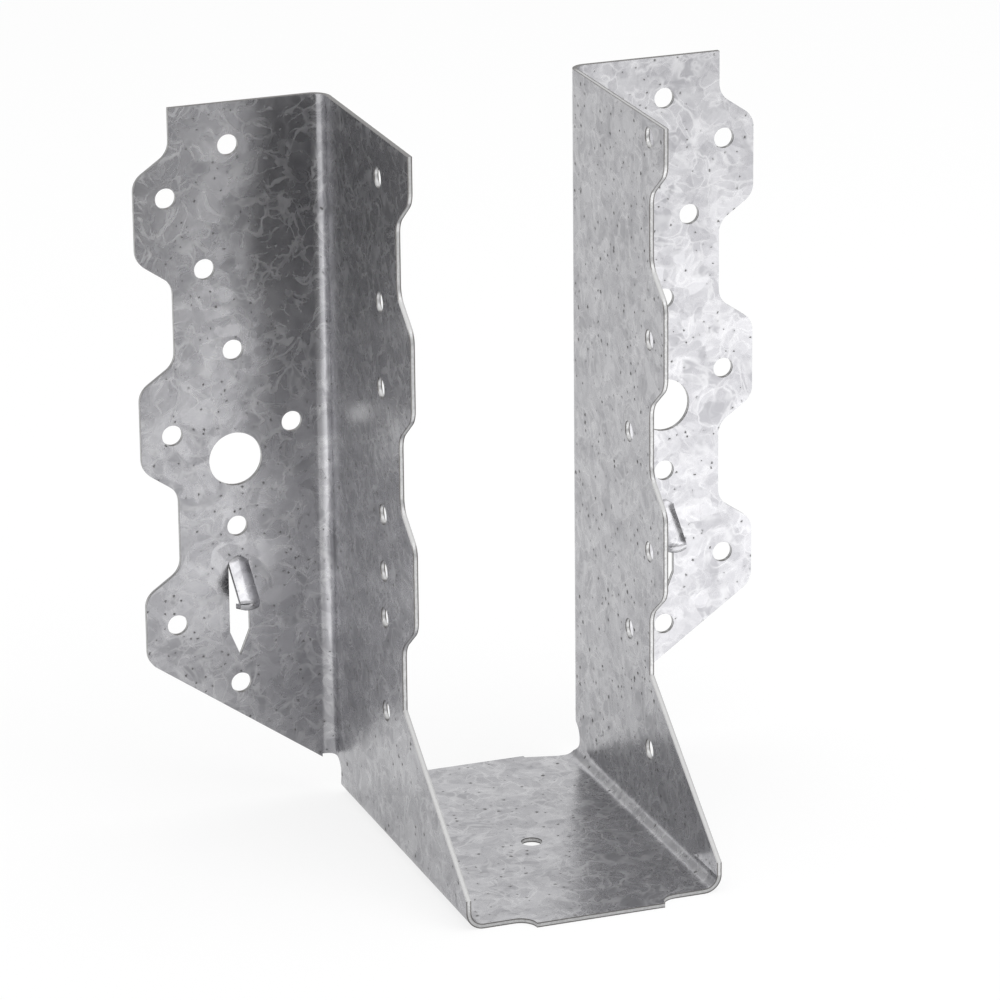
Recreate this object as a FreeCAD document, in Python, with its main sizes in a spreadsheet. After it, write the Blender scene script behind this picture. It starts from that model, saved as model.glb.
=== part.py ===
import FreeCAD, Part
import math
import os
import Sketcher

# A face-fixed joist hanger: one stamped and folded steel sheet.
# The body is modelled with +Z up from the underside of the seat, X across the joist,
# and the header's face on the plane Y = 0, so that the joist lies on the -Y side.
# The stamped pattern repeats down both legs. Its stations lie one pitch apart, the first
# at the top edge, and every row of holes or steps is a drop below one of the stations.

SIZES = {
    # The sheet and its folds
    "joist_width": 60.0,
    "sheet": 1.2,
    "bend_radius": 3.0,
    "corner_radius": 5.0,
    # Heights: two pitches from the top edge to the last station, then the tail
    "step_pitch": 50.8,
    "tail": 71.4,
    # Seat, measured forward from the header's face
    "seat_depth": 93.6,
    "seat_hole_back": 52.5,
    "lip_width": 31.2,
    "lip_out": 4.0,
    "back_gap": 1.2,
    "back_width": 34.4,
    "back_step": 0.9,
    "back_taper": 7.8,
    # Joist legs: depth at the tabs and in the notches, steps below each station
    "leg_depth": 60.7,
    "leg_notch_depth": 51.9,
    "leg_step": 10.8,
    "leg_ramp": 6.9,
    "leg_notch": 16.9,
    "leg_taper_start": 33.0,
    "leg_foot": 7.2,
    # Header flanges: reach out from the inner face of the leg, steps below each station
    "header_reach": 47.0,
    "header_notch_reach": 38.2,
    "header_step": 10.6,
    "header_ramp": 6.1,
    "header_notch": 19.3,
    "header_taper_start": 32.8,
    "header_foot": 8.6,
    # Round relief where the three folds meet
    "relief_radius": 4.0,
    "relief_back": 2.1,
    "relief_height": 5.5,
    # Holes
    "nail_hole": 5.0,
    "bolt_hole": 13.0,
    "bolt_column": 24.1,
    "edge_column": 39.4,
    "middle_column": 30.5,
    "inner_column": 10.1,
    "left_column": 40.1,
    "right_front_column": 51.8,
    "right_back_column": 39.1,
    "bolt_row": 35.6,
    # Prong pierced out of the header flange
    "prong_row": 8.2,
    "prong_width": 4.8,
    "prong_gap": 0.1,
    "prong_arch": 0.6,
    "prong_sink": 0.03,
    "prong_overlap": 2.0,
    "prong_root_radius": 3.5,
    "prong_angle": 50.0,
    "prong_reach": 9.8,
    "prong_tip_radius": 1.3,
    "prong_tip_angle": 75.0,
    "prong_tip": 9.0,
    "prong_trim": 1.1,
    "prong_point": 6.1,
    # Drops of the nail holes below their stations, on the header flanges and on each leg
    "header_drop_1": 10.1,
    "header_drop_2": 21.4,
    "header_drop_3": 39.3,
    "header_drop_4": 8.8,
    "header_drop_5": 28.0,
    "header_drop_6": 28.0,
    "header_drop_7": 1.4,
    "header_drop_8": 24.3,
    "header_drop_9": 40.9,
    "left_drop_1": 10.1,
    "left_drop_2": 39.4,
    "left_drop_3": 9.1,
    "left_drop_4": 39.7,
    "left_drop_5": 2.8,
    "left_drop_6": 14.2,
    "left_drop_7": 37.3,
    "right_drop_1": 4.2,
    "right_drop_2": 1.5,
    "right_drop_3": 27.5,
    "right_drop_4": 2.3,
    "right_drop_5": 25.7,
    "right_drop_6": 51.6,
}

# Column and station of each nail hole, in the order of the drops
HEADER_HOLES = [
    ("bolt_column", 0),
    ("edge_column", 0),
    ("middle_column", 0),
    ("bolt_column", 1),
    ("inner_column", 1),
    ("edge_column", 1),
    ("bolt_column", 2),
    ("edge_column", 2),
    ("bolt_column", 2),
]
LEFT_HOLES = [
    ("left_column", 0),
    ("left_column", 0),
    ("left_column", 1),
    ("left_column", 1),
    ("left_column", 2),
    ("left_column", 2),
    ("left_column", 2),
]
RIGHT_HOLES = [
    ("right_front_column", 0),
    ("right_front_column", 1),
    ("right_back_column", 1),
    ("right_front_column", 2),
    ("right_back_column", 2),
    ("right_front_column", 2),
]

doc = FreeCAD.newDocument("joist_hanger")
sizes = doc.addObject("Spreadsheet::Sheet", "Sizes")
for line, (name, size) in enumerate(SIZES.items(), 1):
    sizes.set(f"A{line}", str(size))
    sizes.setAlias(f"A{line}", name)
doc.recompute()

body = doc.addObject("PartDesign::Body", "joist_hanger")
body.Label = "joist_hanger"

# Places and lengths that several features share, as expressions of the sizes. CLEAR is how far a cut
# runs past the sheet.
HALF = "Sizes.joist_width / 2"
OUTER = f"({HALF} + Sizes.sheet)"
FOLD = "(Sizes.sheet + Sizes.bend_radius)"
HEIGHT = "(2 * Sizes.step_pitch + Sizes.tail)"
CLEAR = "Sizes.sheet"


def below(station, drop):
    """Height of a point that lies a drop below a station."""
    return f"({HEIGHT} - {station} * Sizes.step_pitch - ({drop}))"


def value(expression):
    return float(sizes.evalExpression(expression))


def plane(role):
    for feature in body.Origin.OriginFeatures:
        if feature.Role == role:
            return feature


def new_sketch(name, role, offset="0"):
    """Sketch on one of the body's origin planes, moved along its normal by an offset."""
    sketch = body.newObject("Sketcher::SketchObject", name)
    sketch.AttachmentSupport = [(plane(role), "")]
    sketch.MapMode = "FlatFace"
    sketch.setExpression("AttachmentOffset.Base.z", offset)
    return sketch


def fix(sketch, kind, element, point, expression):
    """Distance from the sketch's origin to a point, bound to an expression."""
    size = value(expression)
    number = sketch.addConstraint(Sketcher.Constraint(kind, -1, 1, element, point, size))
    sketch.setExpression(f"Constraints[{number}]", expression)


def place(sketch, element, point, x, y):
    fix(sketch, "DistanceX", element, point, x)
    fix(sketch, "DistanceY", element, point, y)


def join(sketch, first, second):
    sketch.addConstraint(Sketcher.Constraint("Coincident", first, 2, second, 1))


def outline(sketch, corners):
    """Closed outline of straight lines through corners given as expressions."""
    points = [FreeCAD.Vector(value(x), value(y), 0) for x, y in corners]
    start = sketch.GeometryCount
    count = len(points)
    for number in range(count):
        sketch.addGeometry(Part.LineSegment(points[number], points[(number + 1) % count]))
    for number, (x, y) in enumerate(corners):
        join(sketch, start + number, start + (number + 1) % count)
        place(sketch, start + number, 1, x, y)


def circle(sketch, x, y, diameter):
    centre = FreeCAD.Vector(value(x), value(y), 0)
    number = sketch.addGeometry(Part.Circle(centre, FreeCAD.Vector(0, 0, 1), value(diameter) / 2))
    place(sketch, number, 3, x, y)
    size = sketch.addConstraint(Sketcher.Constraint("Diameter", number, value(diameter)))
    sketch.setExpression(f"Constraints[{size}]", diameter)


def pad(name, sketch, length, reverse=False):
    feature = body.newObject("PartDesign::Pad", name)
    feature.Profile = sketch
    feature.Reversed = reverse
    feature.setExpression("Length", length)
    doc.recompute()
    return feature


def pocket(name, sketch, length=None, reverse=False, symmetric=False):
    """Cut the sketch's outline, through everything when no length is given."""
    before = body.Shape.Volume
    feature = body.newObject("PartDesign::Pocket", name)
    feature.Profile = sketch
    feature.Reversed = reverse
    feature.SideType = "Symmetric" if symmetric else "One side"
    if length is None:
        feature.Type = "ThroughAll"
    else:
        feature.setExpression("Length", length)
    doc.recompute()
    if body.Shape.Volume > before - 0.01:
        raise RuntimeError(f"{name} cuts nothing")
    return feature


def repeat_down(name, feature):
    """Repeat a cut of the top station at the next station down."""
    pattern = body.newObject("PartDesign::LinearPattern", name)
    pattern.Originals = [feature]
    pattern.Direction = (plane("Z_Axis"), [""])
    pattern.Reversed = True
    pattern.Mode = "Spacing"
    pattern.setExpression("Offset", "Sizes.step_pitch")
    pattern.Occurrences = 2
    body.Tip = pattern
    doc.recompute()


def straight_edges(along, wanted):
    """Names of the body's straight edges that run along one axis and meet a condition."""
    names = []
    for number, edge in enumerate(body.Shape.Edges, 1):
        if edge.Curve.TypeId != "Part::GeomLine":
            continue
        direction = edge.Vertexes[-1].Point - edge.Vertexes[0].Point
        if abs(abs(direction.dot(along)) - edge.Length) > 1e-6:
            continue
        if wanted(edge):
            names.append(f"Edge{number}")
    return names


def fillet(name, names, radius):
    base = body.Tip
    feature = body.newObject("PartDesign::Fillet", name)
    feature.Base = (base, names)
    feature.setExpression("Radius", radius)
    doc.recompute()
    return feature


X = FreeCAD.Vector(1, 0, 0)
Y = FreeCAD.Vector(0, 1, 0)
Z = FreeCAD.Vector(0, 0, 1)


def near(point, x=None, y=None, z=None):
    """True when a point has the given coordinates, left and right counted as one."""
    pairs = ((abs(point.x), x), (point.y, y), (point.z, z))
    return all(wanted is None or abs(found - wanted) < 1e-4 for found, wanted in pairs)


def make_channel():
    """Seat and two legs as one U, folded with the bend radius."""
    sketch = new_sketch("channel_section", "XZ_Plane", FOLD)
    outline(sketch, [
        (f"-{OUTER}", HEIGHT),
        (f"-{OUTER}", "0"),
        (OUTER, "0"),
        (OUTER, HEIGHT),
        (HALF, HEIGHT),
        (HALF, "Sizes.sheet"),
        (f"-{HALF}", "Sizes.sheet"),
        (f"-{HALF}", HEIGHT),
    ])
    pad("channel", sketch, f"Sizes.seat_depth - {FOLD}")
    inner = value(HALF)
    outer = value(OUTER)
    level = value("Sizes.sheet")
    fillet("seat_fold_inside", straight_edges(Y, lambda edge: near(edge.CenterOfMass, inner, None, level)),
           "Sizes.bend_radius")
    fillet("seat_fold_outside", straight_edges(Y, lambda edge: near(edge.CenterOfMass, outer, None, 0)), FOLD)


def make_header_flanges():
    """Two flanges turned outwards, down to the middle of the corner reliefs."""
    reach = f"({HALF} + Sizes.header_reach)"
    for side, sign in (("left", "-1"), ("right", "1")):
        sketch = new_sketch(f"{side}_header_section", "XY_Plane", "Sizes.relief_height")
        outline(sketch, [
            (f"{sign} * {HALF}", f"-{FOLD}"),
            (f"{sign} * {OUTER}", f"-{FOLD}"),
            (f"{sign} * {OUTER}", "-Sizes.sheet"),
            (f"{sign} * {reach}", "-Sizes.sheet"),
            (f"{sign} * {reach}", "0"),
            (f"{sign} * {HALF}", "0"),
        ])
        pad(f"{side}_header", sketch, f"{HEIGHT} - Sizes.relief_height")


def make_header_folds():
    inner = value(HALF)
    outer = value(OUTER)
    front = -value("Sizes.sheet")
    fillet("header_fold_inside", straight_edges(Z, lambda edge: near(edge.CenterOfMass, outer, front)),
           "Sizes.bend_radius")
    fillet("header_fold_outside", straight_edges(Z, lambda edge: near(edge.CenterOfMass, inner, 0)), FOLD)


def make_seat_ends():
    """Lip at the front of the seat with hollow corners, and the narrower tongue at its back."""
    front = "Sizes.seat_depth"
    lip = "(Sizes.lip_width / 2 + Sizes.lip_out)"
    sketch = new_sketch("seat_lip_outline", "XY_Plane")
    outline(sketch, [
        (f"-{lip}", f"-{front} + Sizes.lip_out"),
        (f"-{lip}", f"-{front} - Sizes.lip_out"),
        (lip, f"-{front} - Sizes.lip_out"),
        (lip, f"-{front} + Sizes.lip_out"),
    ])
    pad("seat_lip", sketch, "Sizes.sheet")
    sketch = new_sketch("seat_lip_hollows", "XY_Plane")
    for sign in ("-1", "1"):
        circle(sketch, f"{sign} * {lip}", f"-{front} - Sizes.lip_out", "2 * Sizes.lip_out")
    pocket("seat_lip_corners", sketch, "2 * Sizes.sheet", reverse=True)

    half = "(Sizes.back_width / 2)"
    wide = "(Sizes.back_width / 2 + Sizes.back_taper)"
    step = "(Sizes.back_gap + Sizes.back_step)"
    sketch = new_sketch("seat_back_outline", "XY_Plane")
    outline(sketch, [
        (f"-{half}", "-Sizes.back_gap"),
        (half, "-Sizes.back_gap"),
        (half, f"-{step}"),
        (wide, f"-{FOLD}"),
        (wide, f"-2 * {FOLD}"),
        (f"-{wide}", f"-2 * {FOLD}"),
        (f"-{wide}", f"-{FOLD}"),
        (f"-{half}", f"-{step}"),
    ])
    pad("seat_back", sketch, "Sizes.sheet")


def cut_leg_outline():
    """Stepped front edges of both legs, and the long taper down to the seat."""
    tab = "-Sizes.leg_depth"
    notch = "-Sizes.leg_notch_depth"
    ahead = "-(Sizes.seat_depth + Sizes.lip_out)"
    over = f"({HEIGHT} + {CLEAR})"
    sketch = new_sketch("leg_front_outline", "YZ_Plane")
    outline(sketch, [
        (tab, over),
        (tab, below(2, "Sizes.leg_step")),
        (notch, below(2, "Sizes.leg_step + Sizes.leg_ramp")),
        (notch, below(2, "Sizes.leg_taper_start")),
        ("-Sizes.seat_depth", "Sizes.leg_foot"),
        (ahead, "Sizes.leg_foot"),
        (ahead, over),
    ])
    pocket("leg_front", sketch, symmetric=True)

    low = "Sizes.leg_step + 2 * Sizes.leg_ramp + Sizes.leg_notch"
    sketch = new_sketch("leg_notch_outline", "YZ_Plane")
    outline(sketch, [
        (tab, below(0, "Sizes.leg_step")),
        (notch, below(0, "Sizes.leg_step + Sizes.leg_ramp")),
        (notch, below(0, "Sizes.leg_step + Sizes.leg_ramp + Sizes.leg_notch")),
        (tab, below(0, low)),
    ])
    first = pocket("leg_notch", sketch, symmetric=True)
    repeat_down("leg_notches", first)


def cut_corner_reliefs():
    """Round reliefs across both legs and their header folds."""
    sketch = new_sketch("relief_outline", "YZ_Plane")
    circle(sketch, "-Sizes.relief_back", "Sizes.relief_height", "2 * Sizes.relief_radius")
    pocket("corner_reliefs", sketch, f"2 * ({HALF} + {FOLD})", symmetric=True)


def cut_header_outline():
    """Stepped outer edges of the header flanges and their slanted lower edges."""
    tab = f"({HALF} + Sizes.header_reach)"
    notch = f"({HALF} + Sizes.header_notch_reach)"
    fold = f"({HALF} + {FOLD})"
    outside = f"({tab} + {CLEAR})"
    over = f"({HEIGHT} + {CLEAR})"
    ramp = "Sizes.header_ramp"
    step = "Sizes.header_step"
    step_end = f"({step} + {ramp})"

    sketch = new_sketch("header_top_outline", "XZ_Plane")
    for sign in ("-1", "1"):
        outline(sketch, [
            (f"{sign} * {notch}", over),
            (f"{sign} * {notch}", below(0, step)),
            (f"{sign} * {tab}", below(0, step_end)),
            (f"{sign} * {outside}", below(0, step_end)),
            (f"{sign} * {outside}", over),
        ])
    pocket("header_top", sketch, "2 * Sizes.sheet", symmetric=True)

    top = f"(Sizes.step_pitch + {step} - Sizes.header_notch)"
    sketch = new_sketch("header_notch_outline", "XZ_Plane")
    for sign in ("-1", "1"):
        outline(sketch, [
            (f"{sign} * {outside}", below(0, f"({top} - {ramp})")),
            (f"{sign} * {tab}", below(0, f"({top} - {ramp})")),
            (f"{sign} * {notch}", below(0, top)),
            (f"{sign} * {notch}", below(1, step)),
            (f"{sign} * {tab}", below(1, step_end)),
            (f"{sign} * {outside}", below(1, step_end)),
        ])
    first = pocket("header_notch", sketch, "2 * Sizes.sheet", symmetric=True)
    repeat_down("header_notches", first)

    sketch = new_sketch("header_bottom_outline", "XZ_Plane")
    for sign in ("-1", "1"):
        outline(sketch, [
            (f"{sign} * {fold}", "Sizes.header_foot"),
            (f"{sign} * {tab}", below(2, "Sizes.header_taper_start")),
            (f"{sign} * {outside}", below(2, "Sizes.header_taper_start")),
            (f"{sign} * {outside}", "0"),
            (f"{sign} * {fold}", "0"),
        ])
    pocket("header_bottom", sketch, "2 * Sizes.sheet", symmetric=True)


def round_corners():
    """Round the corners of the stamped steps, which leaves the top edge and the tapers' ends sharp."""
    top = value(HEIGHT)
    thick = value("Sizes.sheet")
    reaches = [value(f"{HALF} + Sizes.header_reach"), value(f"{HALF} + Sizes.header_notch_reach")]
    depths = [value("Sizes.leg_depth"), value("Sizes.leg_notch_depth")]
    taper = value(below(2, "Sizes.leg_taper_start"))

    def is_step(edge, across, reach):
        height = edge.CenterOfMass.z
        if height > top - thick or abs(height - taper) < 1e-4 or abs(edge.Length - thick) > 1e-4:
            return False
        return any(abs(across - each) < 1e-4 for each in reach)

    fillet("header_corners", straight_edges(Y, lambda edge: is_step(edge, abs(edge.CenterOfMass.x), reaches)),
           "Sizes.corner_radius")
    fillet("leg_corners", straight_edges(X, lambda edge: is_step(edge, -edge.CenterOfMass.y, depths)),
           "Sizes.corner_radius")


def drop_of(group, number, station):
    return below(station, f"Sizes.{group}_drop_{number}")


def punch_holes():
    """Nail holes and bolt holes of the header flanges, nail holes of each leg and of the seat."""
    sketch = new_sketch("header_nail_outline", "XZ_Plane")
    for sign in ("-1", "1"):
        for number, (column, station) in enumerate(HEADER_HOLES, 1):
            across = f"{sign} * ({HALF} + Sizes.{column})"
            circle(sketch, across, drop_of("header", number, station), "Sizes.nail_hole")
    pocket("header_nail_holes", sketch, "2 * Sizes.sheet", symmetric=True)

    sketch = new_sketch("bolt_outline", "XZ_Plane")
    for sign in ("-1", "1"):
        across = f"{sign} * ({HALF} + Sizes.bolt_column)"
        circle(sketch, across, below(1, "Sizes.bolt_row"), "Sizes.bolt_hole")
    pocket("bolt_holes", sketch, "2 * Sizes.sheet", symmetric=True)

    for group, rows, reverse in (("left", LEFT_HOLES, False), ("right", RIGHT_HOLES, True)):
        sketch = new_sketch(f"{group}_nail_outline", "YZ_Plane")
        for number, (column, station) in enumerate(rows, 1):
            circle(sketch, f"-Sizes.{column}", drop_of(group, number, station), "Sizes.nail_hole")
        pocket(f"{group}_nail_holes", sketch, f"{OUTER} + Sizes.sheet", reverse=reverse)

    sketch = new_sketch("seat_nail_outline", "XY_Plane")
    circle(sketch, "0", "-Sizes.seat_hole_back", "Sizes.nail_hole")
    pocket("seat_nail_hole", sketch, "2 * Sizes.sheet", reverse=True)


# Places along the prong's middle line, as depth and height: it leaves the header flange at its root,
# leans out at the prong angle, turns back round the tip bend and points at the header again.
ROOT_Z = below(2, "Sizes.prong_row")
LEAN = "Sizes.prong_angle"
BACK = "Sizes.prong_tip_angle"
BEND_1 = "Sizes.prong_root_radius"
BEND_2 = "Sizes.prong_tip_radius"
P0 = ("-Sizes.sheet / 2", ROOT_Z)
P1 = (f"({P0[0]} - {BEND_1} * (1 - cos({LEAN})))", f"({P0[1]} - {BEND_1} * sin({LEAN}))")
P2 = (f"({P1[0]} - Sizes.prong_reach * sin({LEAN}))", f"({P1[1]} - Sizes.prong_reach * cos({LEAN}))")
MIDDLE = (f"({P2[0]} + {BEND_2} * cos({LEAN}))", f"({P2[1]} - {BEND_2} * sin({LEAN}))")
P3 = (f"({MIDDLE[0]} - {BEND_2} * cos({BACK}))", f"({MIDDLE[1]} - {BEND_2} * sin({BACK}))")
P4 = (f"({P3[0]} + Sizes.prong_tip * sin({BACK}))", f"({P3[1]} - Sizes.prong_tip * cos({BACK}))")
# The window that the prong leaves is as long as the flat prong and what is trimmed off its end.
FLAT = (f"(({LEAN} * {BEND_1} + ({LEAN} + {BACK}) * {BEND_2}) * pi / 180"
        " + Sizes.prong_reach + Sizes.prong_tip + Sizes.prong_trim)")


def point(place):
    return FreeCAD.Vector(value(place[0]), value(place[1]), 0)


def arc(sketch, centre, start, end, radius):
    """Arc from start round to end, anticlockwise, with its radius bound to an expression."""
    first = math.atan2(start.y - centre.y, start.x - centre.x)
    last = math.atan2(end.y - centre.y, end.x - centre.x)
    if last < first:
        last += 2 * math.pi
    whole = Part.Circle(centre, FreeCAD.Vector(0, 0, 1), value(radius))
    number = sketch.addGeometry(Part.ArcOfCircle(whole, first, last))
    size = sketch.addConstraint(Sketcher.Constraint("Radius", number, value(radius)))
    sketch.setExpression(f"Constraints[{size}]", radius)
    return number


def prong_section(side, column):
    """Arched band across the prong, whose crest lies just inside the front of the sheet."""
    half = "Sizes.prong_width / 2"
    left = f"({column} - {half})"
    right = f"({column} + {half})"
    radius = "((Sizes.prong_width ^ 2 / 4 + Sizes.prong_arch ^ 2) / (2 * Sizes.prong_arch))"
    back = "(Sizes.prong_arch + Sizes.prong_sink)"
    front = f"({back} - Sizes.sheet)"
    sketch = new_sketch(f"{side}_prong_section", "XY_Plane", ROOT_Z)
    arcs = []
    for level in (front, back):
        centre = point((column, f"{level} - Sizes.prong_arch + {radius}"))
        number = arc(sketch, centre, point((left, level)), point((right, level)), radius)
        place(sketch, number, 1, left, level)
        place(sketch, number, 2, right, level)
        arcs.append(number)
    for end, across in ((1, left), (2, right)):
        line = sketch.addGeometry(Part.LineSegment(point((across, front)), point((across, back))))
        sketch.addConstraint(Sketcher.Constraint("Coincident", line, 1, arcs[0], end))
        sketch.addConstraint(Sketcher.Constraint("Coincident", line, 2, arcs[1], end))
    return sketch


def prong_path(side, column):
    """Middle line of the prong, in the plane through its middle."""
    sketch = new_sketch(f"{side}_prong_path", "YZ_Plane", column)
    centre = point((f"{P0[0]} - {BEND_1}", P0[1]))
    root = arc(sketch, centre, point(P1), point(P0), BEND_1)
    reach = sketch.addGeometry(Part.LineSegment(point(P1), point(P2)))
    turn = arc(sketch, point(MIDDLE), point(P2), point(P3), BEND_2)
    tip = sketch.addGeometry(Part.LineSegment(point(P3), point(P4)))
    for first, first_end, second, second_end in (
            (root, 1, reach, 1), (reach, 2, turn, 1), (turn, 2, tip, 1)):
        sketch.addConstraint(Sketcher.Constraint("Coincident", first, first_end, second, second_end))
    for line, end, spot in ((root, 2, P0), (reach, 1, P1), (reach, 2, P2), (tip, 1, P3), (tip, 2, P4)):
        place(sketch, line, end, *spot)
    return sketch


def make_prong(side, sign):
    """Window in the header flange, and the prong bent out of it and back."""
    column = f"({sign} * ({HALF} + Sizes.bolt_column))"
    window = "(Sizes.prong_width / 2 + Sizes.prong_gap)"
    window_top = f"({ROOT_Z} - Sizes.prong_overlap)"
    sketch = new_sketch(f"{side}_window_outline", "XZ_Plane")
    outline(sketch, [
        (f"{column} - {window}", window_top),
        (f"{column} + {window}", window_top),
        (f"{column} + {window}", f"{ROOT_Z} - {FLAT} + Sizes.prong_point"),
        (column, f"{ROOT_Z} - {FLAT}"),
        (f"{column} - {window}", f"{ROOT_Z} - {FLAT} + Sizes.prong_point"),
    ])
    pocket(f"{side}_window", sketch, "2 * Sizes.sheet", symmetric=True)

    section = prong_section(side, column)
    path = prong_path(side, column)
    doc.recompute()
    prong = body.newObject("PartDesign::AdditivePipe", f"{side}_prong")
    prong.Profile = section
    prong.Spine = (path, ["Edge1", "Edge2", "Edge3", "Edge4"])
    doc.recompute()

    # The root is pressed flush with the header's face, so that the flange still lies flat.
    half = "Sizes.prong_width / 2"
    edge = f"({half} + Sizes.prong_gap / 2)"
    high = f"({ROOT_Z} + {CLEAR})"
    low = f"({P1[1]} - {CLEAR})"
    sketch = new_sketch(f"{side}_root_outline", "XZ_Plane")
    outline(sketch, [
        (f"{column} - {edge}", low),
        (f"{column} - {edge}", high),
        (f"{column} + {edge}", high),
        (f"{column} + {edge}", low),
    ])
    pocket(f"{side}_root", sketch, CLEAR)

    # The point is cut between the two arms of the prong, downwards from the middle of the tip bend.
    shoulder = f"({P4[0]} - Sizes.prong_point * sin({BACK}))"
    beyond = f"({P4[0]} + {CLEAR})"
    sketch = new_sketch(f"{side}_point_outline", "XY_Plane", MIDDLE[1])
    outline(sketch, [
        (f"{column} - {edge}", shoulder),
        (f"{column} - {half}", shoulder),
        (column, P4[0]),
        (f"{column} + {half}", shoulder),
        (f"{column} + {edge}", shoulder),
        (f"{column} + {edge}", beyond),
        (f"{column} - {edge}", beyond),
    ])
    pocket(f"{side}_point", sketch, f"{MIDDLE[1]} - {P4[1]} + 2 * {CLEAR}")


make_channel()
make_header_flanges()
make_header_folds()
make_seat_ends()
cut_leg_outline()
cut_corner_reliefs()
cut_header_outline()
round_corners()
punch_holes()
make_prong("left", "-1")
make_prong("right", "1")

# The row's frame has its origin on the header's face, midway between the two bolt holes.
body.setExpression("Placement.Base.z", f"-{below(1, 'Sizes.bolt_row')}")
doc.recompute()

for item in doc.Objects:
    if "Invalid" in item.State or "Error" in item.State:
        raise RuntimeError(f"{item.Name} failed")
shape = body.Shape
if shape.isNull() or not shape.isValid() or len(shape.Solids) != 1:
    raise RuntimeError("the hanger is not one valid solid")

os.makedirs("parts", exist_ok=True)
shape.exportStep(f"parts/{body.Label}.step")
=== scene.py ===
import math

import bmesh
import bpy
from mathutils import Matrix, Vector
from mathutils.bvhtree import BVHTree


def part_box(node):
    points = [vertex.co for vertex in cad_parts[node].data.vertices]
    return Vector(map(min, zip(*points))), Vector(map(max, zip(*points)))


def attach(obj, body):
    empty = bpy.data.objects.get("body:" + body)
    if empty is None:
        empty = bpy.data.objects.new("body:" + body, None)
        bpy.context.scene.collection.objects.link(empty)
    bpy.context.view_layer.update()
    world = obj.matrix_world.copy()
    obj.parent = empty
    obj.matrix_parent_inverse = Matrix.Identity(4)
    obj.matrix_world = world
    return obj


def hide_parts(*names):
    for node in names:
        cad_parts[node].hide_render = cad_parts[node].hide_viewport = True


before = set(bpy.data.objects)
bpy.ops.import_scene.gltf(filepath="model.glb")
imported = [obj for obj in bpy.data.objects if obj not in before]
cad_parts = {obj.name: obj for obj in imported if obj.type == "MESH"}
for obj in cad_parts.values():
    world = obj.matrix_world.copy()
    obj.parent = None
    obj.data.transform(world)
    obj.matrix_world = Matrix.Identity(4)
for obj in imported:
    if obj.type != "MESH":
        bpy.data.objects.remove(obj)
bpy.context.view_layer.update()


# Sizes in metres
MM = 0.001
SHEET = 1.2 * MM
EDGE_ROUND = 0.12 * MM
TOUCH = 0.001 * MM
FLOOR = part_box("joist_hanger")[0].z
LOW_LAMP_HEIGHT = FLOOR + 4 * MM
FLOOR_WIDTH = 12.0

# Bends are shaded smoothly, and edges that turn more sharply are rounded
SMOOTH_TURN = math.radians(35)
SHARP_TURN = math.radians(40)

# Material places on the sheet
SKIN, CUT, ROUNDED = 0, 1, 2
OUTSIDE = "depth_from_outer_face"
UPWARD = "faces_up"

# Colours of the zinc, from its darkest crystals to its pale strokes, and of the pits in it
ZINC_DARK = (0.312, 0.310, 0.327, 1)
ZINC_PALE = (0.450, 0.448, 0.465, 1)
ZINC_STROKE = (0.66, 0.66, 0.67, 1)
PIT_RING = (0.22, 0.22, 0.23, 1)
PIT = (0.09, 0.087, 0.085, 1)

# Sizes of the zinc's pattern; the shifts keep its layers from lining up with each other
LARGE_CRYSTAL = 5.0 * MM
SMALL_CRYSTAL = 3.8 * MM
SMALL_SHIFT = (0.31, 0.17, 0.23)
PIT_SPACING = 2.1 * MM
PIT_SIZE = 0.52 * MM
PIT_SHIFT = (0.113, 0.227, 0.351)
CLOUD_SIZE = 30 * MM

# Relief of the surfaces
FEATHER_HEIGHT = 0.006 * MM
PIT_DEPTH = 0.02 * MM
SHEAR_HEIGHT = 0.008 * MM

# Roughness at the dark and at the pale end of each metal's colours
ZINC_ROUGHNESS = (0.29, 0.22)
CUT_ROUGHNESS = (0.40, 0.30)

# Colours of the cut edges; the slanted grey is painted shade, and the rim colour also paints shade on the
# level tops
CUT_DARK = (0.40, 0.40, 0.405, 1)
CUT_PALE = (0.53, 0.53, 0.53, 1)
CUT_SLANTED_SHADE = (0.34, 0.34, 0.34, 1)
CUT_RIM_AND_PAINTED_SHADE = (0.105, 0.098, 0.094, 1)

# Colours of the studio
WHITE = (1, 1, 1, 1)
PAPER = (0.86, 0.86, 0.86, 1)
PALE_CARD = (0.58, 0.58, 0.58, 1)
GREY_CARD = (0.26, 0.26, 0.26, 1)
BLACK_CARD = (0.02, 0.02, 0.02, 1)

# Where the level cut tops get painted shade: along Y towards the header's face, and along X towards the left
# leg
HEADER_SHADE_BAND = (-6 * MM, -3 * MM)
LEFT_SHADE_BAND = (0.0, 10 * MM)


# Shader building


def node_of(tree, kind, place, **settings):
    node = tree.nodes.new(kind)
    node.location = place
    for name, value in settings.items():
        setattr(node, name, value)
    return node


def new_group(name, inputs, outputs):
    """Shader node group with named sockets: (name, default) in, (name, socket type) out."""
    tree = bpy.data.node_groups.new(name, "ShaderNodeTree")
    for label, default in inputs:
        kind = "NodeSocketVector" if isinstance(default, tuple) else "NodeSocketFloat"
        socket = tree.interface.new_socket(label, in_out="INPUT", socket_type=kind)
        socket.default_value = default
    for label, kind in outputs:
        tree.interface.new_socket(label, in_out="OUTPUT", socket_type=kind)
    start = node_of(tree, "NodeGroupInput", (-1400, 0))
    end = node_of(tree, "NodeGroupOutput", (900, 0))
    return tree, start.outputs, end.inputs


def feed(tree, socket, value):
    """Link a socket from another, or set its number."""
    if isinstance(value, bpy.types.NodeSocket):
        tree.links.new(value, socket)
    elif value is not None:
        socket.default_value = value


def maths(tree, operation, first, second=None, third=None, clamp=False):
    node = node_of(tree, "ShaderNodeMath", (0, 0), operation=operation, use_clamp=clamp)
    for socket, value in zip(node.inputs, (first, second, third)):
        feed(tree, socket, value)
    return node.outputs[0]


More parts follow.
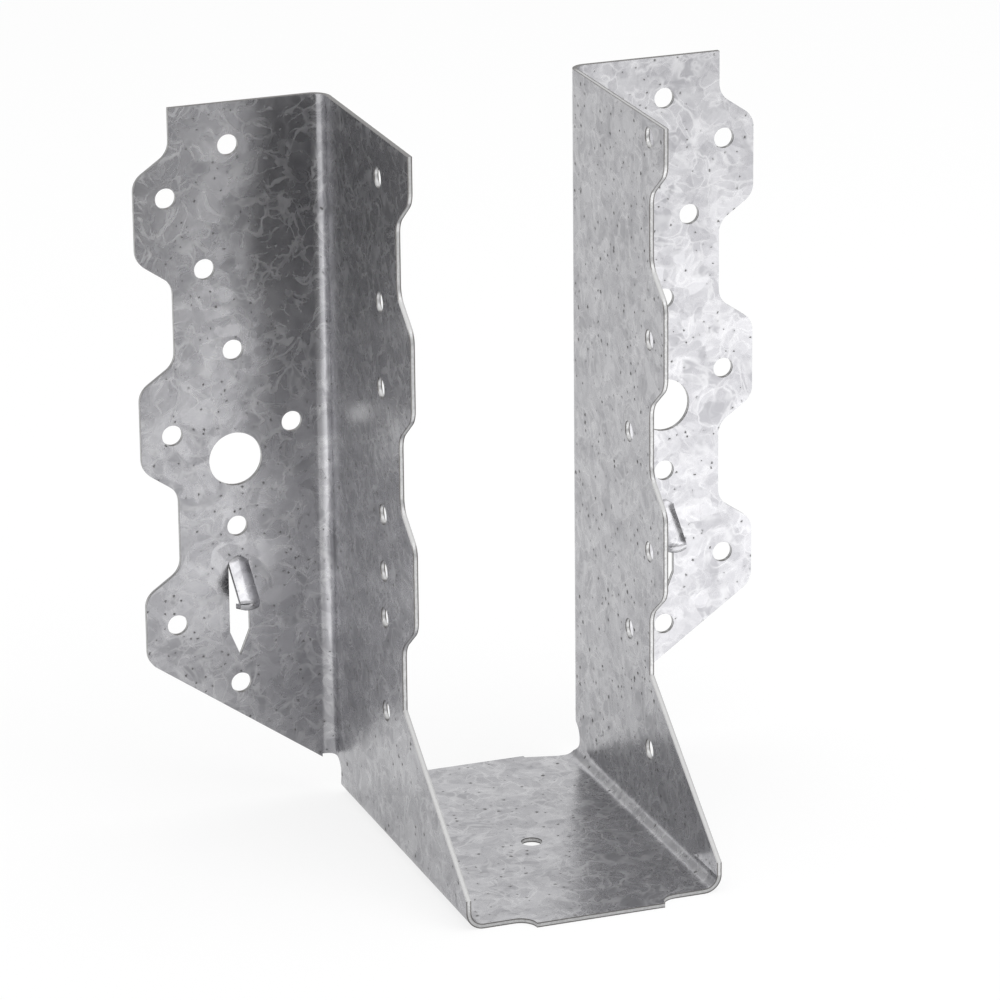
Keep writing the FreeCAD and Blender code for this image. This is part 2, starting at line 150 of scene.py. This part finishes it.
def vector_maths(tree, operation, first, second=None, scale=None):
    node = node_of(tree, "ShaderNodeVectorMath", (0, 0), operation=operation)
    feed(tree, node.inputs[0], first)
    feed(tree, node.inputs[1], second)
    if scale is not None:
        feed(tree, node.inputs["Scale"], scale)
    return node.outputs[0]


def remap(tree, value, low, high, new_low=0.0, new_high=1.0, smooth=False):
    kind = "SMOOTHSTEP" if smooth else "LINEAR"
    node = node_of(tree, "ShaderNodeMapRange", (0, 0), interpolation_type=kind)
    for socket, number in zip(node.inputs, (value, low, high, new_low, new_high)):
        feed(tree, socket, number)
    return node.outputs[0]


def blend(tree, mask, first, second):
    """Colours mixed by a mask."""
    node = node_of(tree, "ShaderNodeMix", (0, 0), data_type="RGBA", blend_type="MIX")
    feed(tree, node.inputs["Factor"], mask)
    colours = [socket for socket in node.inputs if socket.type == "RGBA"]
    feed(tree, colours[0], first)
    feed(tree, colours[1], second)
    return [socket for socket in node.outputs if socket.type == "RGBA"][0]


def noise(tree, where, scale, detail=2.0, roughness=0.5):
    node = node_of(tree, "ShaderNodeTexNoise", (0, 0))
    feed(tree, node.inputs["Vector"], where)
    feed(tree, node.inputs["Scale"], scale)
    feed(tree, node.inputs["Detail"], detail)
    feed(tree, node.inputs["Roughness"], roughness)
    return node.outputs


def cells(tree, where, scale, feature="F1"):
    node = node_of(tree, "ShaderNodeTexVoronoi", (0, 0), feature=feature)
    feed(tree, node.inputs["Vector"], where)
    feed(tree, node.inputs["Scale"], scale)
    if feature == "SMOOTH_F1":
        feed(tree, node.inputs["Smoothness"], 0.22)
    return node.outputs


def centred(tree, colour):
    """A random colour as a vector from -0.5 to 0.5 each way."""
    return vector_maths(tree, "SUBTRACT", colour, (0.5, 0.5, 0.5))


def warped(tree, where, scale, amount, detail=3.0):
    """Places pushed about by noise, so that what is drawn there isn't straight."""
    push = centred(tree, noise(tree, where, scale, detail=detail)["Color"])
    return vector_maths(tree, "ADD", where, vector_maths(tree, "SCALE", push, scale=amount))


def make_spangle():
    """Zinc crystals: leaf-shaped cells in slightly different tones, with feathery lines between them."""
    tree, given, out = new_group(
        "zinc_spangle",
        [("Place", (0.0, 0.0, 0.0)), ("Crystal Size", 0.003), ("Bend", 0.8), ("Line Width", 0.06)],
        [("Tone", "NodeSocketFloat"), ("Veins", "NodeSocketFloat"), ("Feathers", "NodeSocketFloat")],
    )
    density = maths(tree, "DIVIDE", 1.0, given["Crystal Size"])
    bend = maths(tree, "MULTIPLY", given["Crystal Size"], given["Bend"])
    # A broad sweep and then a finer curl bend the crystals into leaves
    place = given["Place"]
    for waves, reach in ((0.55, 2.2), (2.6, 0.35)):
        place = warped(tree, place, maths(tree, "MULTIPLY", density, waves),
                       maths(tree, "MULTIPLY", bend, reach), detail=0.6)
    crystal = cells(tree, place, density)
    softened = cells(tree, place, density, feature="SMOOTH_F1")
    edge = cells(tree, place, density, feature="DISTANCE_TO_EDGE")["Distance"]
    split = node_of(tree, "ShaderNodeSeparateColor", (0, 0))
    feed(tree, split.inputs[0], softened["Color"])
    # Feathers run in a direction of their own in each crystal
    turn = node_of(tree, "ShaderNodeVectorRotate", (0, 0), rotation_type="EULER_XYZ")
    feed(tree, turn.inputs["Vector"], place)
    feed(tree, turn.inputs["Rotation"], vector_maths(tree, "SCALE", crystal["Color"], scale=6.0))
    stretched = vector_maths(tree, "MULTIPLY", turn.outputs[0], (1.0, 1.0, 0.3))
    feather = noise(tree, stretched, maths(tree, "MULTIPLY", density, 1.7), detail=1.5, roughness=0.5)["Fac"]
    strength = noise(tree, given["Place"], maths(tree, "MULTIPLY", density, 0.9), detail=1.0)["Fac"]
    vein = remap(tree, maths(tree, "DIVIDE", edge, given["Line Width"]), 0.0, 1.0, 0.7, 0.0, smooth=True)
    # Wavy strokes run across the crystals, and come and go along their length
    wave = noise(tree, place, maths(tree, "MULTIPLY", density, 0.9), detail=1.0)["Fac"]
    crest = maths(tree, "ABSOLUTE", maths(tree, "SUBTRACT", wave, 0.5))
    crest = maths(tree, "DIVIDE", crest, given["Line Width"])
    vein = maths(tree, "MAXIMUM", vein, remap(tree, crest, 0.0, 0.8, 1.0, 0.0, smooth=True))
    vein = maths(tree, "MULTIPLY", vein, remap(tree, strength, 0.34, 0.62, 0.12, 1.0, smooth=True))
    feed(tree, out["Tone"], split.outputs[0])
    feed(tree, out["Veins"], vein)
    feed(tree, out["Feathers"], remap(tree, feather, 0.3, 0.7))
    return tree


def make_specks():
    """Small dark pits scattered in loose clusters."""
    tree, given, out = new_group(
        "dark_specks",
        [("Place", (0.0, 0.0, 0.0)), ("Spacing", 0.0038), ("Size", 0.0004), ("Share", 0.5)],
        [("Mask", "NodeSocketFloat"), ("Halo", "NodeSocketFloat")],
    )
    density = maths(tree, "DIVIDE", 1.0, given["Spacing"])
    place = warped(tree, given["Place"], 1900.0, 0.0009)
    spot = cells(tree, place, density)
    away = maths(tree, "MULTIPLY", spot["Distance"], given["Spacing"])
    split = node_of(tree, "ShaderNodeSeparateColor", (0, 0))
    feed(tree, split.inputs[0], spot["Color"])
    cluster = noise(tree, given["Place"], maths(tree, "MULTIPLY", density, 0.22), detail=1.0)["Fac"]
    share = maths(tree, "MULTIPLY", given["Share"], remap(tree, cluster, 0.35, 0.65, 0.3, 1.7))
    chosen = maths(tree, "LESS_THAN", split.outputs[0], share)
    spread = maths(tree, "MULTIPLY", split.outputs[1], split.outputs[1])
    size = maths(tree, "MULTIPLY", given["Size"], remap(tree, spread, 0.0, 1.0, 0.35, 1.0))
    ratio = maths(tree, "DIVIDE", away, size)
    mask = maths(tree, "MULTIPLY", remap(tree, ratio, 0.7, 1.15, 1.0, 0.0, smooth=True), chosen)
    halo = maths(tree, "MULTIPLY", remap(tree, ratio, 1.0, 2.6, 1.0, 0.0, smooth=True), chosen)
    feed(tree, out["Mask"], mask)
    feed(tree, out["Halo"], halo)
    return tree


def make_handling_marks():
    """Faint scuffs and cloudiness over large areas."""
    tree, given, out = new_group(
        "handling_marks",
        [("Place", (0.0, 0.0, 0.0)), ("Cloud Size", 0.02)],
        [("Cloud", "NodeSocketFloat"), ("Scuffs", "NodeSocketFloat")],
    )
    density = maths(tree, "DIVIDE", 1.0, given["Cloud Size"])
    cloud = noise(tree, given["Place"], density, detail=4.0, roughness=0.55)["Fac"]
    streaks = vector_maths(tree, "MULTIPLY", given["Place"], (1.0, 1.0, 0.08))
    scratch = noise(tree, streaks, maths(tree, "MULTIPLY", density, 60.0), detail=2.0)["Fac"]
    where = noise(tree, given["Place"], maths(tree, "MULTIPLY", density, 1.7), detail=2.0)["Fac"]
    scuffs = maths(tree, "MULTIPLY", remap(tree, scratch, 0.62, 0.75, smooth=True),
                   remap(tree, where, 0.52, 0.66, smooth=True))
    feed(tree, out["Cloud"], cloud)
    feed(tree, out["Scuffs"], scuffs)
    return tree


SPANGLE = make_spangle()
SPECKS = make_specks()
MARKS = make_handling_marks()


def placed_group(tree, group, **values):
    node = node_of(tree, "ShaderNodeGroup", (0, 0), node_tree=group)
    for label, value in values.items():
        feed(tree, node.inputs[label.replace("_", " ")], value)
    return node.outputs


def new_material(name):
    material = bpy.data.materials.new(name)
    material.use_nodes = True
    tree = material.node_tree
    tree.nodes.clear()
    end = node_of(tree, "ShaderNodeOutputMaterial", (600, 0))
    return material, tree, end


def metal_shader(tree, end, colour, roughness, metallic, height):
    """Metal with a bump, whose height is in metres."""
    shader = node_of(tree, "ShaderNodeBsdfPrincipled", (300, 0))
    feed(tree, shader.inputs["Base Color"], colour)
    feed(tree, shader.inputs["Roughness"], roughness)
    feed(tree, shader.inputs["Metallic"], metallic)
    bump = node_of(tree, "ShaderNodeBump", (100, -300))
    bump.inputs["Strength"].default_value = 1.0
    bump.inputs["Distance"].default_value = 1.0
    feed(tree, bump.inputs["Height"], height)
    feed(tree, shader.inputs["Normal"], bump.outputs[0])
    feed(tree, end.inputs["Surface"], shader.outputs[0])


def galvanised_sheet():
    """Zinc spangle in two sizes, with small dark pits and faint handling marks."""
    material, tree, end = new_material("galvanised_sheet")
    place = node_of(tree, "ShaderNodeTexCoord", (-1200, 0)).outputs["Object"]
    large = placed_group(tree, SPANGLE, Place=place, Crystal_Size=LARGE_CRYSTAL, Bend=0.85, Line_Width=0.075)
    small = placed_group(tree, SPANGLE, Place=vector_maths(tree, "ADD", place, SMALL_SHIFT),
                         Crystal_Size=SMALL_CRYSTAL, Bend=0.9, Line_Width=0.10)
    specks = placed_group(tree, SPECKS, Place=vector_maths(tree, "ADD", place, PIT_SHIFT),
                          Spacing=PIT_SPACING, Size=PIT_SIZE, Share=0.72)
    marks = placed_group(tree, MARKS, Place=place, Cloud_Size=CLOUD_SIZE)
    veins = maths(tree, "MULTIPLY_ADD", small["Veins"], 0.3, large["Veins"], clamp=True)
    feathers = maths(tree, "MULTIPLY_ADD", small["Feathers"], 0.4,
                     maths(tree, "MULTIPLY", large["Feathers"], 0.6))
    tone = maths(tree, "MULTIPLY_ADD", small["Tone"], 0.42, maths(tree, "MULTIPLY", large["Tone"], 0.34))
    tone = maths(tree, "MULTIPLY_ADD", feathers, 0.22, tone)
    tone = maths(tree, "MULTIPLY_ADD", marks["Cloud"], 0.2, tone)
    shade = remap(tree, tone, 0.25, 0.85)
    colour = blend(tree, shade, ZINC_DARK, ZINC_PALE)
    colour = blend(tree, maths(tree, "MULTIPLY", veins, 0.48), colour, ZINC_STROKE)
    colour = blend(tree, maths(tree, "MULTIPLY", specks["Halo"], 0.2), colour, PIT_RING)
    colour = blend(tree, maths(tree, "MULTIPLY", specks["Mask"], 0.8), colour, PIT)
    roughness = remap(tree, shade, 0.0, 1.0, *ZINC_ROUGHNESS)
    roughness = maths(tree, "MULTIPLY_ADD", veins, 0.07, roughness)
    roughness = maths(tree, "MULTIPLY_ADD", marks["Scuffs"], 0.08, roughness)
    roughness = maths(tree, "MULTIPLY_ADD", specks["Mask"], 0.4, roughness, clamp=True)
    metallic = maths(tree, "MULTIPLY_ADD", veins, -0.05, 0.97)
    metallic = maths(tree, "MULTIPLY_ADD", specks["Mask"], -0.7, metallic, clamp=True)
    height = maths(tree, "MULTIPLY", feathers, FEATHER_HEIGHT)
    height = maths(tree, "MULTIPLY_ADD", specks["Mask"], -PIT_DEPTH, height)
    metal_shader(tree, end, colour, roughness, metallic, height)
    return material


def sheared_edge():
    """The cut through the sheet: bright metal with fine shear marks, darker at its burred rims, with painted
    shade on slanted cuts and on level tops that face up.
    """
    material, tree, end = new_material("sheared_edge")
    place = node_of(tree, "ShaderNodeTexCoord", (-1200, 0)).outputs["Object"]
    through = node_of(tree, "ShaderNodeAttribute", (-1200, -300), attribute_name=OUTSIDE).outputs["Fac"]
    wander = noise(tree, place, 260.0, detail=3.0)["Fac"]
    level = maths(tree, "MULTIPLY_ADD", maths(tree, "SUBTRACT", wander, 0.5), 0.16, through)
    from_middle = maths(tree, "ABSOLUTE", maths(tree, "SUBTRACT", level, 0.5))
    burr_rim_and_painted_shade = remap(tree, from_middle, 0.19, 0.34, smooth=True)
    grit = noise(tree, place, 1900.0, detail=2.0, roughness=0.7)["Fac"]
    grain = remap(tree, grit, 0.3, 0.7)
    bright = blend(tree, grain, CUT_DARK, CUT_PALE)
    # Painted shade: slanted cuts are painted an even darker grey, and the level tops of the header flanges
    # and the left leg are painted dark, as in the photograph
    split = node_of(tree, "ShaderNodeSeparateXYZ", (0, 0))
    feed(tree, split.inputs[0], place)
    facing = node_of(tree, "ShaderNodeAttribute", (-1200, -600), attribute_name=UPWARD).outputs["Fac"]
    on_header = remap(tree, split.outputs[1], *HEADER_SHADE_BAND)
    on_left = remap(tree, split.outputs[0], *LEFT_SHADE_BAND, 0.85, 0.0)
    level_top = remap(tree, facing, 0.90, 0.97)
    slanted = maths(tree, "SUBTRACT", remap(tree, facing, 0.5, 0.75), level_top, clamp=True)
    # Painted shade on the level tops that face up, at the header flanges and the left leg; the burr rim
    # colour paints it
    painted_top_shade = maths(tree, "MULTIPLY", level_top, maths(tree, "MAXIMUM", on_header, on_left))
    burr_rim_and_painted_shade = maths(tree, "MULTIPLY", burr_rim_and_painted_shade, maths(tree, "MULTIPLY_ADD", slanted, -0.75, 1.0))
    burr_rim_and_painted_shade = maths(tree, "MAXIMUM", burr_rim_and_painted_shade, painted_top_shade)
    # Painted shade: slanted cuts, which face partly up, take an even darker grey
    bright = blend(tree, slanted, bright, CUT_SLANTED_SHADE)
    colour = blend(tree, maths(tree, "MULTIPLY", burr_rim_and_painted_shade, 0.85), bright, CUT_RIM_AND_PAINTED_SHADE)
    roughness = maths(tree, "MULTIPLY_ADD", burr_rim_and_painted_shade, 0.12, remap(tree, grain, 0.0, 1.0, *CUT_ROUGHNESS))
    height = maths(tree, "MULTIPLY", grit, SHEAR_HEIGHT)
    metal_shader(tree, end, colour, roughness, 0.95, height)
    return material


# The folded sheet


def is_skin(polygon_centre, normal, tree):
    """True where the sheet is one thickness deep, so on its rolled faces and not on a cut."""
    start = polygon_centre - normal * TOUCH
    hit = tree.ray_cast(start, -normal)
    return hit[0] is not None and hit[3] < 1.5 * SHEET


def skins_of(mesh):
    """Polygons of the sheet's outer face, and of both its rolled faces; what is left is cut edge."""
    work = bmesh.new()
    work.from_mesh(mesh)
    tree = BVHTree.FromBMesh(work)
    work.faces.ensure_lookup_table()
    skin = {face.index for face in work.faces if is_skin(face.calc_center_median(), face.normal, tree)}
    groups = []
    left = set(skin)
    while left:
        todo = [left.pop()]
        found = []
        while todo:
            face = work.faces[todo.pop()]
            found.append(face.index)
            for edge in face.edges:
                for other in edge.link_faces:
                    if other.index in left and face.normal.angle(other.normal, 0) < SMOOTH_TURN:
                        left.discard(other.index)
                        todo.append(other.index)
        groups.append(found)
    groups.sort(key=lambda group: sum(work.faces[i].calc_area() for i in group), reverse=True)
    outer = min(groups[:2], key=lambda group: min(v.co.z for i in group for v in work.faces[i].verts))
    work.free()
    return outer, skin


def is_square(normal):
    """True for a normal along one of the model's axes, as the flat panels have."""
    return max(abs(part) for part in normal) > 0.9999


def corner_normal(face, neighbours):
    """Flat panels keep one normal up to their edges, and bends turn smoothly from one to the next."""
    alike = [other for other in neighbours if other.normal.angle(face.normal, 0) < SMOOTH_TURN]
    panels = [other for other in alike if is_square(other.normal)]
    if panels:
        return min(panels, key=lambda other: other.normal.angle(face.normal, 0)).normal
    total = Vector()
    for other in alike:
        total += other.normal * other.calc_area()
    return total.normalized() if total.length else face.normal


def shade_panels(mesh):
    """Set each corner's normal; the rounded edges lean from one face to the other."""
    work = bmesh.new()
    work.from_mesh(mesh)
    work.normal_update()
    work.faces.ensure_lookup_table()
    normals = [face.normal.copy() for face in work.faces for loop in face.loops]
    at = 0
    for face in work.faces:
        for loop in face.loops:
            around = [other for other in loop.vert.link_faces if other.material_index != ROUNDED]
            if face.material_index != ROUNDED:
                same = [other for other in around if other.material_index == face.material_index]
                normals[at] = corner_normal(face, same).copy()
            elif around:
                closest = min(around, key=lambda other: other.normal.angle(face.normal, 0))
                same = [other for other in around if other.material_index == closest.material_index]
                normals[at] = corner_normal(closest, same).copy()
            else:
                normals[at] = loop.vert.normal.copy()
            at += 1
    work.free()
    mesh.normals_split_custom_set(normals)


def fold_sheet(node, materials):
    """The hanger with its edges lightly rounded, rolled faces and cut edges told apart."""
    mesh = node.data.copy()
    mesh.name = "folded_sheet"
    work = bmesh.new()
    work.from_mesh(mesh)
    bmesh.ops.remove_doubles(work, verts=work.verts, dist=TOUCH)
    bmesh.ops.dissolve_degenerate(work, edges=work.edges, dist=TOUCH)
    work.to_mesh(mesh)
    work.free()
    mesh.materials.clear()
    for material in materials:
        mesh.materials.append(material)
    mesh.materials.append(materials[CUT])
    outer, skin = skins_of(mesh)
    for polygon in mesh.polygons:
        polygon.material_index = SKIN if polygon.index in skin else CUT
        polygon.use_smooth = True
    tree = BVHTree.FromPolygons([v.co.copy() for v in mesh.vertices],
                                [tuple(mesh.polygons[i].vertices) for i in outer])
    piece = bpy.data.objects.new("folded_sheet", mesh)
    bpy.context.scene.collection.objects.link(piece)
    rounding = piece.modifiers.new("edge_rounding", "BEVEL")
    rounding.width = EDGE_ROUND
    rounding.segments = 2
    rounding.limit_method = "ANGLE"
    rounding.angle_limit = SHARP_TURN
    rounding.material = ROUNDED
    rounding.use_clamp_overlap = True
    graph = bpy.context.evaluated_depsgraph_get()
    finished = bpy.data.meshes.new_from_object(piece.evaluated_get(graph), preserve_all_data_layers=True,
                                               depsgraph=graph)
    piece.modifiers.clear()
    piece.data = finished
    bpy.data.meshes.remove(mesh)
    shade_panels(finished)
    for polygon in finished.polygons:
        if polygon.material_index == ROUNDED:
            polygon.material_index = CUT
    finished.materials.pop(index=ROUNDED)
    # How far each face points up, from which the cut edge paints shade on slanted cuts and level tops
    upward = finished.attributes.new(UPWARD, "FLOAT", "FACE")
    upward.data.foreach_set("value", [max(0.0, polygon.normal.z) for polygon in finished.polygons])
    through = finished.attributes.new(OUTSIDE, "FLOAT", "POINT")
    depths = [min(1.0, tree.find_nearest(vertex.co)[3] / SHEET) for vertex in finished.vertices]
    through.data.foreach_set("value", depths)
    return piece


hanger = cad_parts["joist_hanger"]
sheet = fold_sheet(hanger, [galvanised_sheet(), sheared_edge()])
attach(sheet, "root")
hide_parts("joist_hanger")


# Studio


def flat_mesh(name, width, depth, height=0.0):
    """A level rectangle round the origin."""
    x, y = width / 2, depth / 2
    mesh = bpy.data.meshes.new(name)
    mesh.from_pydata([(-x, -y, height), (x, -y, height), (x, y, height), (-x, y, height)], [], [(0, 1, 2, 3)])
    return mesh


def aimed(place, look_at, axis):
    """Matrix that sets a thing at a place with one of its axes towards a point."""
    turn = (Vector(look_at) - Vector(place)).to_track_quat(axis, "Y").to_matrix().to_4x4()
    return Matrix.Translation(place) @ turn


def stage_card(name, size, place, look_at, colour):
    """A flat card that only the metal shows, facing a point."""
    mesh = flat_mesh(name, *size)
    card = bpy.data.objects.new(name, mesh)
    card.matrix_world = aimed(place, look_at, "Z")
    bpy.context.scene.collection.objects.link(card)
    material, tree, end = new_material(name)
    shader = node_of(tree, "ShaderNodeBsdfDiffuse", (300, 0))
    shader.inputs["Color"].default_value = colour
    feed(tree, end.inputs["Surface"], shader.outputs[0])
    mesh.materials.append(material)
    card.visible_camera = False
    card.visible_shadow = False
    card.visible_diffuse = False


def make_floor():
    """Pale floor that carries the hanger's soft shadow and shows as white in the metal."""
    material, tree, end = new_material("pale_floor")
    path = node_of(tree, "ShaderNodeLightPath", (-400, 200))
    white_to_camera, white_in_metal = 0.8, 0.4
    seen = maths(tree, "MULTIPLY_ADD", path.outputs["Is Camera Ray"], white_to_camera,
                 maths(tree, "MULTIPLY", path.outputs["Is Glossy Ray"], white_in_metal))
    paper = node_of(tree, "ShaderNodeBsdfDiffuse", (0, 0))
    paper.inputs["Color"].default_value = PAPER
    glow = node_of(tree, "ShaderNodeEmission", (0, -150))
    glow.inputs["Strength"].default_value = 1.0
    mix = node_of(tree, "ShaderNodeMixShader", (200, 0))
    feed(tree, mix.inputs[0], seen)
    feed(tree, mix.inputs[1], paper.outputs[0])
    feed(tree, mix.inputs[2], glow.outputs[0])
    feed(tree, end.inputs["Surface"], mix.outputs[0])
    mesh = flat_mesh("studio_floor", FLOOR_WIDTH, FLOOR_WIDTH, FLOOR)
    mesh.materials.append(material)
    floor = bpy.data.objects.new("studio_floor", mesh)
    bpy.context.scene.collection.objects.link(floor)


def make_world():
    """White air, softer where it only lights matt surfaces."""
    matt_strength, seen_strength = 0.75, 1.0
    world = bpy.data.worlds.new("studio_air")
    bpy.context.scene.world = world
    world.use_nodes = True
    tree = world.node_tree
    tree.nodes.clear()
    path = node_of(tree, "ShaderNodeLightPath", (-600, 0))
    seen = maths(tree, "MAXIMUM", path.outputs["Is Camera Ray"], path.outputs["Is Glossy Ray"])
    seen = maths(tree, "MAXIMUM", seen, path.outputs["Is Transmission Ray"])
    air = node_of(tree, "ShaderNodeBackground", (0, 0))
    air.inputs["Color"].default_value = WHITE
    feed(tree, air.inputs["Strength"], remap(tree, seen, 0.0, 1.0, matt_strength, seen_strength))
    feed(tree, node_of(tree, "ShaderNodeOutputWorld", (300, 0)).inputs["Surface"], air.outputs[0])


def soft_lamp(name, place, look_at, size, power):
    lamp = bpy.data.lights.new(name, "AREA")
    lamp.shape = "RECTANGLE"
    lamp.size, lamp.size_y = size
    lamp.energy = power
    carrier = bpy.data.objects.new(name, lamp)
    carrier.matrix_world = aimed(place, look_at, "-Z")
    bpy.context.scene.collection.objects.link(carrier)


def floor_lamp(name, x, y, size, power):
    """A lamp just above the floor that faces straight up, to brighten what the metal mirrors there."""
    soft_lamp(name, (x, y, LOW_LAMP_HEIGHT), (x, y, 1.0), size, power)


def make_camera():
    """Camera at the photograph's angle: from the left, above, level but for a slight roll, in radians."""
    around, above, roll = -0.3517, 0.3347, -0.0098
    distance = 1.34995
    target = Vector((0.01222, 0.0, -0.01916))
    back = Vector((math.sin(around) * math.cos(above), -math.cos(around) * math.cos(above), math.sin(above)))
    right = Vector((math.cos(around), math.sin(around), 0))
    up = back.cross(right)
    right, up = (right * math.cos(roll) + up * math.sin(roll), up * math.cos(roll) - right * math.sin(roll))
    camera = bpy.data.cameras.new("studio_camera")
    camera.sensor_width, camera.lens = 36, 202.86
    carrier = bpy.data.objects.new("studio_camera", camera)
    turn = Matrix((right, up, back)).transposed().to_4x4()
    carrier.matrix_world = Matrix.Translation(target + back * distance) @ turn
    bpy.context.scene.collection.objects.link(carrier)
    bpy.context.scene.camera = carrier


MIDDLE = Vector((0, -0.03, 0))
make_camera()
make_floor()
make_world()
soft_lamp("overhead_lamp", (0.1, -0.1, 1.1), MIDDLE, (1.5, 1.5), 8.8)
soft_lamp("key_lamp", (0.9, -0.9, 0.75), MIDDLE, (0.9, 0.9), 4)
floor_lamp("low_lamp", 0.25, -0.25, (0.40, 0.44), 0.56)
floor_lamp("low_side_lamp", 0.01, -0.21, (0.08, 0.26), 0.032)
floor_lamp("left_floor_lamp", -0.31, -0.07, (0.40, 0.13), 0.12)
# The back card darkens the corner of the seat and the right leg, which mirror it in each other, the side
# card the right prong, and the dark card the top of the left flange and leg
card_middle = FLOOR + 0.06
stage_card("back_card", (0.55, 0.50), (-0.32, 0.81, 0.27), (0.03, -0.06, -0.085), PALE_CARD)
stage_card("side_card", (0.5, 0.5), (0.754, 0.077, 0.534), (0.054, -0.01, -0.02), GREY_CARD)
stage_card("dark_card", (0.38, 0.12), (-0.155, -0.31, card_middle), (-0.155, 0.0, card_middle), BLACK_CARD)
bpy.context.scene.view_settings.view_transform = "Standard"
